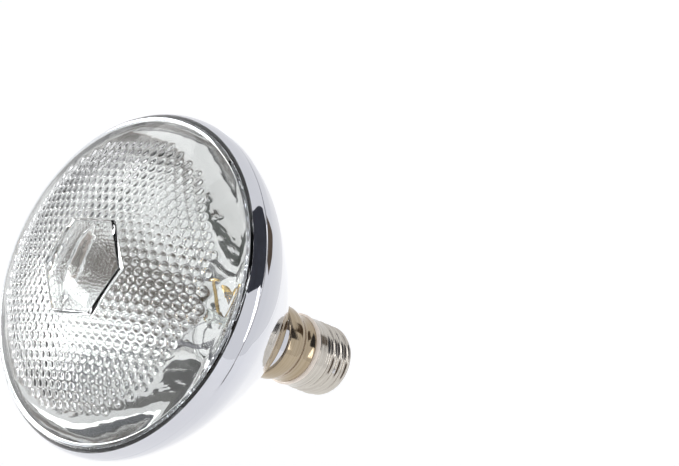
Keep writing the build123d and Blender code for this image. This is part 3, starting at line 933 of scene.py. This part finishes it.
# ---------------- mount inside the bulb
@dataclass
class Mount:
    """The glass stem with its press, the leads, and the filament on its hooks."""

    neck_end_y: float
    press_top_y: float
    press_end_y: float
    filament_y: float
    button_y: float
    shield_y: float
    neck_bore: float = 10.4
    tube_radius: float = 5.4
    tube_wall: float = 1.1
    flare_length: float = 7.0
    flare_steps: int = 8
    press_width: float = 12.0
    press_thickness: float = 4.4
    press_pinch: float = 0.18
    exhaust_radius: float = 1.8
    exhaust_length: float = 24.0
    arbor_radius: float = 1.4
    button_radius: float = 2.4
    shield_radius: float = 9.4
    ring_radius: float = 12.0
    coil_radius: float = 0.62
    coil_wire: float = 0.14
    coil_turns: int = 92
    coil_steps: int = 10
    coil_sag: float = 0.35
    gap: float = 44.0
    hooks: int = 5
    hook_wire: float = 0.2
    hook_eye: float = 0.86
    lead_spacing: float = 6.4
    lead_radius: float = 0.5
    clamp_length: float = 3.0

    @classmethod
    def from_frame(cls) -> Mount:
        """Takes the mount's places from the CAD nodes."""
        press_top_y, neck_end_y = ends("glass_stem")
        return cls(
            neck_end_y=neck_end_y,
            press_top_y=press_top_y,
            press_end_y=sum(ends("dumet_seals")) - press_top_y,
            filament_y=sum(ends("filament")) / 2,
            button_y=ends("stem_arbor")[0] + cls.button_radius,
            shield_y=sum(ends("heat_shield")) / 2,
        )

    def build(self) -> None:
        """Models every piece of the mount."""
        self.build_stem()
        self.build_arbor()
        self.build_filament()
        self.build_hooks()
        self.build_leads()
        self.build_shield()

    def build_stem(self) -> None:
        """The flared tube and the pinched press, and the tipped-off exhaust tube."""
        bore = self.tube_radius - self.tube_wall
        flare = self.neck_end_y - self.flare_length
        reach = self.neck_bore - self.tube_radius
        steps = self.flare_steps
        curve = [(step / steps, 1 - math.cos(math.pi / 2 * step / steps)) for step in range(1, steps + 1)]
        length = self.flare_length - self.tube_wall
        outside = [(self.tube_radius + reach * rise, flare + length * along) for along, rise in curve]
        inside = [(bore + reach * rise, flare + self.flare_length * along) for along, rise in curve]
        floor, tube = self.press_end_y, self.tube_radius
        stations = [(0.0, floor - 1.0), (tube - 1.0, floor - 0.8), (tube, floor + 0.4), (tube, flare)]
        stations += [*outside, (self.neck_bore, self.neck_end_y), *reversed(inside)]
        stations += [(bore, flare), (bore, floor + 0.9), (0.0, floor + 0.3)]
        glass = lathe(stations, 64)
        height = self.press_end_y - self.press_top_y - 0.9
        middle = self.press_top_y + height / 2
        press = block((self.press_width, height, self.press_thickness), (0, middle, 0), 1.6, 4)
        self.pinch(press)
        hand_over(join([glass, press]), "stem_glass_body", STEM_GLASS, "glass_stem", 40.0)
        tip = self.press_end_y + self.exhaust_length
        inner = self.exhaust_radius - 0.6
        stations = [(0.0, tip - 1.6), (inner, tip - 2.4), (inner, self.press_end_y)]
        stations += [(self.exhaust_radius, self.press_end_y), (self.exhaust_radius, tip - 2)]
        stations += [(1.5, tip - 0.4), (0.9, tip + 1.0), (0.0, tip + 1.6)]
        hand_over(lathe(stations, 32), "exhaust_glass", STEM_GLASS, "exhaust_tube", 50.0)

    def pinch(self, press: Piece) -> None:
        """Presses the flat of the seal in a little and lets its lower end swell.

        Args:
            press: the block that becomes the press.
        """
        top, end = self.press_top_y, self.press_end_y
        edit_all(press)
        bpy.ops.mesh.subdivide(number_cuts=3)
        set_mode("OBJECT")

        def squeeze(spot: Vector) -> Vector:
            """Thins the middle of the press and widens its foot.

            Args:
                spot: a point of the press.

            Returns:
                Its new place.
            """
            along = (spot.y - top) / (end - top)
            waist = 1 - self.press_pinch * math.sin(math.pi * min(max(along, 0.0), 1.0))
            return Vector((spot.x * (0.9 + 0.1 * along), spot.y, spot.z * waist))

        move_vertices(press, squeeze)

    def build_arbor(self) -> None:
        """The glass rod on the press with the button that holds the hooks."""
        ball = arc((0.0, self.button_y), self.button_radius, -90, 55, 10)
        neck_y, rod = self.press_top_y, self.arbor_radius
        stations = [*ball, (rod, self.button_y + 2.6), (rod, neck_y - 1.2)]
        stations += [(rod * 1.3, neck_y - 0.3), (rod * 1.3, neck_y), (0.0, neck_y)]
        hand_over(lathe(stations, 40), "arbor_glass", STEM_GLASS, "stem_arbor", 60.0)

    def build_filament(self) -> None:
        """The coil, wound round a ring that is open at the top and sags between its hooks."""
        steps = self.coil_turns * self.coil_steps
        points = []
        for step in range(steps + 1):
            share = step / steps
            angle = 90 + self.gap / 2 + (360 - self.gap) * share
            turn = 2 * math.pi * self.coil_turns * share
            sag = self.coil_sag * math.sin(math.pi * share * (self.hooks + 1)) ** 2
            reach = self.ring_radius - sag + self.coil_radius * math.cos(turn)
            y = self.filament_y + self.coil_radius * math.sin(turn)
            points.append(tuple(ring_place(angle, reach, y)))
        coil = wire(points, self.coil_wire, False, 1)
        hand_over(coil, "filament_coil", TUNGSTEN, "filament", 60.0)

    def build_hooks(self) -> None:
        """Five wires from the button, each with an eye round the coil."""
        pitch = (360 - self.gap) / (self.hooks + 1)
        hooks = []
        for number in range(1, self.hooks + 1):
            angle = 90 + self.gap / 2 + number * pitch
            near, far = self.button_radius - 0.2, self.ring_radius - self.coil_radius - 0.35
            start = ring_place(angle, near, self.button_y)
            end = ring_place(angle, far, self.filament_y)
            middle = ring_place(angle, (near + far) / 2, self.filament_y + 1.2)
            points = [start, start.lerp(middle, 0.5), middle, end]
            for turn in (math.radians(40 * step) for step in range(8)):
                reach = self.ring_radius - self.hook_eye * math.cos(turn)
                points.append(ring_place(angle, reach, self.filament_y + self.hook_eye * math.sin(turn)))
            hooks.append(wire([tuple(point) for point in points], self.hook_wire, True, 1))
        hand_over(join(hooks), "filament_hooks", MOLYBDENUM, "filament_supports", 60.0)

    def build_leads(self) -> None:
        """The two bent leads, each with a folded clamp on the coil's end."""
        clamps = []
        for side, node in ((-1, "lead_wire_left"), (1, "lead_wire_right")):
            angle = 90 - side * self.gap / 2
            clamp = ring_place(angle, self.ring_radius, self.filament_y)
            along = ring_place(angle + side * 90, 1, 0)
            middle = clamp + along * (self.clamp_length / 2)
            foot = Vector((side * self.lead_spacing / 2, self.press_top_y + 1.7, 0))
            knee = Vector((side * self.lead_spacing / 2, self.press_top_y - 1.8, 0))
            points = [foot, foot.lerp(knee, 0.6), knee]
            points += [knee.lerp(middle, 0.12), knee.lerp(middle, 0.6), middle]
            lead = wire([tuple(point) for point in points], self.lead_radius, True, 2)
            hand_over(lead, node.replace("lead_wire", "inner_lead"), LEAD_BRASS, node, 60.0)
            plate = block((self.clamp_length, 1.9, 0.9), (0, 0, 0), 0.3, 2)
            plate.rotation_euler = (0, -math.atan2(along.z, along.x), 0)
            plate.location = middle
            apply_place(plate)
            clamps.append(plate)
        hand_over(join(clamps), "coil_clamps", LEAD_BRASS, "filament_clamps", 40.0)

    def build_shield(self) -> None:
        """The disc behind the press, with a rolled edge and a short hub on the tube."""
        y, edge = self.shield_y, self.shield_radius
        stations = [
            (self.tube_radius, y + 1.4),
            (self.tube_radius, y - 0.2),
            (edge - 0.5, y - 0.2),
            (edge - 0.1, y - 0.05),
            (edge, y + 0.35),
            (edge - 0.25, y + 0.45),
            (edge - 0.6, y + 0.2),
            (self.tube_radius + 0.6, y + 0.2),
            (self.tube_radius + 0.35, y + 1.4),
        ]
        disc = lathe(stations, 72, loop=True)
        hand_over(disc, "shield_disc", SHIELD_METAL, "heat_shield", 40.0)


# ---------------- screw cap
@dataclass
class ScrewCap:
    """The collar on the neck, the ceramic ring, the screw shell and the centre contact."""

    collar_front_y: float
    ring_front_y: float
    ring_back_y: float
    ring_radius: float
    shell_end_y: float
    contact_back_y: float
    end_y: float
    collar_mouth: float
    collar_sheet: float = 0.45
    collar_waist: float = 12.3
    collar_end: float = 12.6
    socket_length: float = 5.5
    waist_length: float = 4.0
    waist_steps: int = 8
    ring_bore: float = 9.0
    band_length: float = 4.8
    band_radius: float = 13.0
    major_radius: float = 13.15
    minor_radius: float = 12.2
    pitch: float = 3.629
    thread_rows: int = 84
    thread_fade: float = 1.6
    thread_fullness: float = 0.85
    shell_sheet: float = 0.35
    lip_radius: float = 11.0
    lip_length: float = 0.9
    insulator_foot: float = 5.8
    insulator_depth: float = 2.2
    contact_radius: float = 4.8
    solder_radius: float = 2.8
    solder_height: float = 0.8
    weld_radius: float = 0.9

    @classmethod
    def from_frame(cls) -> ScrewCap:
        """Takes the cap's places from the CAD nodes."""
        collar_front_y, ring_front_y = ends("base_collar")
        ring_back_y, shell_end_y = ends("screw_shell")
        return cls(
            collar_front_y=collar_front_y,
            ring_front_y=ring_front_y,
            ring_back_y=ring_back_y,
            ring_radius=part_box("insulating_ring")[1].x / MM,
            shell_end_y=shell_end_y,
            contact_back_y=ends("contact_eyelet")[0],
            end_y=ends("centre_solder")[1],
            collar_mouth=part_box("base_collar")[1].x / MM,
        )

    def build(self) -> None:
        """Models every piece of the cap."""
        self.build_collar()
        self.build_ring()
        self.build_shell()
        self.build_weld()
        self.build_contact()

    def build_collar(self) -> None:
        """The drawn collar: a straight socket, a soft waist and a turned-in mouth."""
        sheet = self.collar_sheet
        socket = self.collar_front_y + self.socket_length
        waist = self.ring_front_y - self.waist_length
        outside = [
            (self.collar_mouth - 0.25, self.collar_front_y),
            (self.collar_mouth - 0.03, self.collar_front_y + 0.12),
            (self.collar_mouth, self.collar_front_y + 0.4),
            (self.collar_mouth, socket - 0.6),
        ]
        for step in range(self.waist_steps + 1):
            share = step / self.waist_steps
            ease = (1 - math.cos(math.pi * share)) / 2
            y = socket + (waist - socket) * share
            outside.append((self.collar_mouth + (self.collar_waist - self.collar_mouth) * ease, y))
        outside += [
            (self.collar_waist + 0.05, waist + 1.5),
            (self.collar_waist + 0.16, waist + 2.9),
            (self.collar_end, self.ring_front_y - 0.35),
            (self.collar_end - 0.05, self.ring_front_y - 0.05),
        ]
        inside = [(radius - sheet, y) for radius, y in reversed(outside)]
        collar = lathe(outside + inside, 128, loop=True)
        hand_over(collar, "cap_collar", POLISHED_COLLAR, "base_collar", 50.0)

    def build_ring(self) -> None:
        """The pale ring between collar and shell, with rounded edges."""
        front, back, radius, bore = self.ring_front_y, self.ring_back_y, self.ring_radius, self.ring_bore
        stations = [(bore, front), (radius - 0.7, front), (radius - 0.2, front + 0.18)]
        stations += [(radius, front + 0.65), (radius, back - 0.65)]
        stations += [(radius - 0.2, back - 0.18), (radius - 0.7, back), (bore, back)]
        ring = lathe(stations, 128, loop=True)
        hand_over(ring, "ceramic_ring", CERAMIC, "insulating_ring", 60.0)

    def build_shell(self) -> None:
        """The shell: a plain band, then a rolled thread that climbs as a right-hand screw."""
        start, end = self.ring_back_y + self.band_length, self.shell_end_y - self.lip_length
        band, back, rows = self.band_radius, self.ring_back_y, self.thread_rows
        span = end - back - 0.15
        stations = [(band - 0.1, back), (band, back + 0.15)]
        stations += [(band, back + 0.15 + span * row / rows) for row in range(1, rows + 1)]
        stations += [(self.lip_radius + 0.5, self.shell_end_y - 0.25), (self.lip_radius, self.shell_end_y)]
        shell = lathe(stations, 160)
        mean = (self.major_radius + self.minor_radius) / 2
        depth = (self.major_radius - self.minor_radius) / 2
        fade = self.thread_fade

        def rolled(spot: Vector) -> Vector:
            """Moves a point out to a crest or in to a groove of the thread.

            Args:
                spot: a point of the plain shell.

            Returns:
                Its new place.
            """
            if spot.y > end + 0.01 or spot.y < back + 0.2:
                return spot
            turn = math.atan2(spot.z, spot.x)
            wave = math.cos(2 * math.pi * (spot.y - start) / self.pitch + turn - math.pi / 2)
            wave = math.copysign(abs(wave) ** self.thread_fullness, wave)
            thread = mean + depth * wave
            enter = min(max((spot.y - start + fade) / (2 * fade), 0.0), 1.0)
            leave = min(max((end - spot.y) / fade, 0.0), 1.0)
            enter, leave = enter * enter * (3 - 2 * enter), leave * leave * (3 - 2 * leave)
            radius = band * (1 - enter) + thread * enter
            radius = (mean - depth * 0.6) * (1 - leave) + radius * leave
            reach = math.hypot(spot.x, spot.z)
            return Vector((spot.x * radius / reach, spot.y, spot.z * radius / reach))

        move_vertices(shell, rolled)
        apply_modifier(shell, "SOLIDIFY", thickness=self.shell_sheet, offset=-1.0)
        hand_over(shell, "cap_shell", NICKEL_PLATE, "screw_shell", 50.0)

    def build_weld(self) -> None:
        """The small round spot where the side lead is welded in a groove."""
        low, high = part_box("side_weld")
        middle = (low + high) / 2 / MM
        angle = math.degrees(math.atan2(middle.z, middle.x))
        height = high.x / MM
        stations = [(0.0, -0.9), (self.weld_radius, -0.9), (self.weld_radius, -0.15)]
        stations += [(0.7, 0.0), (0.35, -0.12), (0.0, -0.16)]
        spot = lathe(stations, 28)
        spot.rotation_euler = (0, 0, -math.pi / 2)
        apply_place(spot)
        spot.rotation_euler = (0, -math.radians(angle), 0)
        spot.location = ring_place(angle, height, middle.y)
        apply_place(spot)
        hand_over(spot, "weld_spot", SOLDER, "side_weld", 50.0)

    def build_contact(self) -> None:
        """The black glass, the brass eyelet in it and the drop of solder on top."""
        outer = self.lip_radius - self.shell_sheet - 0.1
        back = self.shell_end_y - self.insulator_depth
        foot_y = self.contact_back_y
        stations = [(1.0, foot_y), (1.0, back), (outer, back), (outer, self.shell_end_y - 0.1)]
        for step in range(1, 10):
            share = step / 9
            radius = outer + (self.insulator_foot - outer) * share - 0.55 * math.sin(math.pi * share)
            stations.append((radius, self.shell_end_y + (foot_y - self.shell_end_y) * share))
        glass = lathe(stations, 96, loop=True)
        hand_over(glass, "black_insulator", BLACK_GLASS, "base_insulator", 45.0)
        flat_y = self.end_y - self.solder_height
        rim, drop_edge = self.contact_radius, self.solder_radius
        stations = [(1.0, foot_y), (rim, foot_y), (rim + 0.02, foot_y + 0.2), (rim - 0.12, foot_y + 0.42)]
        stations += [(drop_edge + 0.9, flat_y - 0.3), (drop_edge + 0.3, flat_y), (1.0, flat_y)]
        eyelet = lathe(stations, 64, loop=True)
        hand_over(eyelet, "contact_plate", CONTACT_BRASS, "contact_eyelet", 40.0)
        drop = arc((0.0, self.end_y - 5.3), 5.3, 90, 58, 8)
        stations = [(0.0, foot_y), (0.98, foot_y), (0.98, flat_y), (self.solder_radius, flat_y)]
        stations += reversed(drop[:-1])
        hand_over(lathe(stations, 48), "contact_solder", SOLDER, "centre_solder", 60.0)


# ---------------- pieces that keep their CAD shape
@dataclass
class KeptNodes:
    """CAD nodes inside the lamp whose shape is right and that only need a finish."""

    finishes: dict[str, Finish] = field(
        default_factory=lambda: {
            "dumet_seals": COPPER_SEAL,
            "basing_cement": CEMENT,
            "fuse_sleeve": STEM_GLASS,
            "outer_lead_live": COPPER_SEAL,
            "outer_lead_neutral": COPPER_SEAL,
        }
    )

    def build(self, nodes: dict[str, Piece]) -> None:
        """Gives each node its finish.

        Args:
            nodes: the CAD nodes by name.
        """
        for name, finish in self.finishes.items():
            nodes[name].data.materials.clear()
            nodes[name].data.materials.append(finish.material())
            LOG.info("%s keeps its shape", name)


# ---------------- studio
@dataclass(frozen=True)
class Panel:
    """A light or a dark card that faces the lamp from some way off."""

    name: str
    azimuth: float
    elevation: float
    distance: float
    width: float
    height: float
    glow: float = 0.0
    colour: Colour = (1.0, 1.0, 1.0)

    @property
    def watts(self) -> float:
        """Power that gives its face this brightness."""
        return self.glow * math.pi * self.width * self.height

    def place(self, target: Vector) -> Matrix:
        """Where it stands, so that it faces the target.

        Args:
            target: the point that it faces, in metres.

        Returns:
            Its turn and place as a matrix.
        """
        a, e = math.radians(self.azimuth), math.radians(self.elevation)
        back = Vector((math.sin(a) * math.cos(e), -math.cos(a) * math.cos(e), math.sin(e)))
        turn = back.to_track_quat("Z", "Y").to_matrix().to_4x4()
        return Matrix.Translation(target + back * self.distance) @ turn


@dataclass
class Studio:
    """The pale floor, the lights, the dark cards that give the glass its contrast, and the camera."""

    target: Vector
    floor_drop: float = 0.36
    floor_size: float = 160.0
    sky: Colour = (0.975, 0.98, 1.0)
    sky_strength: float = 0.9
    camera_place: Place = (0.6007, -0.6719, 0.2006)
    camera_right: Place = (0.5256, 0.6372, 0.5637)
    camera_up: Place = (-0.5131, -0.2911, 0.8075)
    camera_lens: float = 132.55
    camera_sensor: float = 36.0
    camera_clip: Point = (0.01, 400.0)
    lights: tuple[Panel, ...] = (
        Panel("key_light", -56, 14, 1.5, 1.1, 0.8, 1.5),
        Panel("low_light", -47, -28, 0.72, 0.46, 0.14, 22.0),
        Panel("top_light", 24, 55, 1.5, 1.0, 0.42, 2.0),
        Panel("side_light", 66, 44, 1.5, 0.4, 0.4, 4.0),
        Panel("back_light", 128, 24, 1.4, 0.16, 0.7, 3.0),
    )
    cards: tuple[Panel, ...] = (
        Panel("camera_card", 50, 5, 1.55, 0.86, 1.4, colour=(0.24, 0.185, 0.155)),
        Panel("stand_card", 49, 7, 1.45, 0.56, 0.95, colour=(0.05, 0.037, 0.022)),
        Panel("arm_card", 38, -6, 1.4, 0.12, 0.7, colour=(0.07, 0.055, 0.05)),
        Panel("edge_card", 23, -17, 1.5, 0.34, 0.62, colour=(0.04, 0.046, 0.04)),
        Panel("window_bar", 10, 16, 1.5, 0.2, 0.8, colour=(0.05, 0.05, 0.05)),
        Panel("window_sill", 4, 34, 1.45, 1.0, 0.24, colour=(0.09, 0.09, 0.085)),
        Panel("front_card", -6, -8, 1.5, 0.5, 0.2, colour=(0.055, 0.06, 0.05)),
        Panel("left_card", -32, 4, 1.4, 0.4, 0.2, colour=(0.1, 0.1, 0.1)),
        Panel("left_low_card", -16, -18, 1.4, 0.16, 0.5, colour=(0.07, 0.075, 0.08)),
        Panel("high_card", -24, 58, 1.3, 0.85, 0.45, colour=(0.05, 0.055, 0.065)),
        Panel("side_card", -82, 2, 1.4, 0.22, 0.5, colour=(0.1, 0.1, 0.11)),
        Panel("navy_card", 104, 63, 1.3, 1.9, 1.1, colour=(0.02, 0.022, 0.03)),
        Panel("brown_card", 176, 38, 1.3, 0.5, 0.36, colour=(0.07, 0.05, 0.035)),
    )

    def build(self) -> None:
        """Makes the whole set."""
        self.build_world()
        self.build_floor()
        for light in self.lights:
            self.build_light(light)
        for card in self.cards:
            self.build_card(card)
        self.build_camera()
        bpy.context.scene.view_settings.view_transform = "Standard"

    def build_world(self) -> None:
        """An even, faintly blue white surround."""
        world = bpy.data.worlds.new("studio_world")
        world.use_nodes = True
        background = world.node_tree.nodes["Background"]
        set_inputs(background, {"Color": (*self.sky, 1.0), "Strength": self.sky_strength})
        bpy.context.scene.world = world

    def build_floor(self) -> None:
        """A very wide pale floor, well below the lamp."""
        start_clean()
        bpy.ops.mesh.primitive_grid_add(
            x_subdivisions=8, y_subdivisions=8, size=self.floor_size, location=(0, 0, -self.floor_drop)
        )
        floor = bpy.context.object
        floor.name = "studio_floor"
        floor.data.materials.append(FLOOR_PAINT.material())
        floor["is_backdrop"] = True

    def build_light(self, panel: Panel) -> None:
        """One soft rectangular light.

        Args:
            panel: its place, size and brightness.
        """
        data = bpy.data.lights.new(panel.name, "AREA")
        data.shape = "RECTANGLE"
        data.size, data.size_y = panel.width, panel.height
        data.energy = panel.watts
        data.color = panel.colour
        light = bpy.data.objects.new(panel.name, data)
        light.matrix_world = panel.place(self.target)
        light.visible_camera = False
        bpy.context.scene.collection.objects.link(light)

    def build_card(self, panel: Panel) -> None:
        """One dark card, which the camera itself doesn't see.

        Args:
            panel: its place, size and colour.
        """
        start_clean()
        bpy.ops.mesh.primitive_grid_add(x_subdivisions=4, y_subdivisions=4, size=1)
        card = bpy.context.object
        card.name = panel.name
        card.matrix_world = panel.place(self.target) @ Matrix.Diagonal((panel.width, panel.height, 1, 1))
        lighter = tuple(min(channel * 1.6, 1.0) for channel in panel.colour)
        paint = Finish(f"{panel.name}_paint", panel.colour, lighter, (0.8, 0.9), scale=4.0)
        card.data.materials.append(paint.material())
        card.visible_camera = False
        card.visible_shadow = False
        card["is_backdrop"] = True

    def build_camera(self) -> None:
        """The camera, above the lamp's right, rolled anticlockwise."""
        data = bpy.data.cameras.new("camera")
        data.sensor_width = self.camera_sensor
        data.lens = self.camera_lens
        data.clip_start, data.clip_end = self.camera_clip
        camera = bpy.data.objects.new("camera", data)
        right, up = Vector(self.camera_right), Vector(self.camera_up)
        back = right.cross(up).normalized()
        up = back.cross(right).normalized()
        turn = Matrix((right.normalized(), up, back)).transposed().to_4x4()
        camera.matrix_world = Matrix.Translation(self.camera_place) @ turn
        bpy.context.scene.collection.objects.link(camera)
        bpy.context.scene.camera = camera


def main() -> None:
    """Builds the lamp over its CAD frame, then the studio round it."""
    logging.basicConfig(level=logging.INFO, format="%(name)s %(message)s")
    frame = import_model()
    cad_low, cad_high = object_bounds()
    outline = BulbOutline.from_frame()
    FrontLens(outline).build()
    Reflector(outline).build()
    Mount.from_frame().build()
    ScrewCap.from_frame().build()
    KeptNodes().build(frame["nodes"])
    Studio(target=(cad_low + cad_high) / 2).build()
    start_clean()


if __name__ == "__main__":
    main()
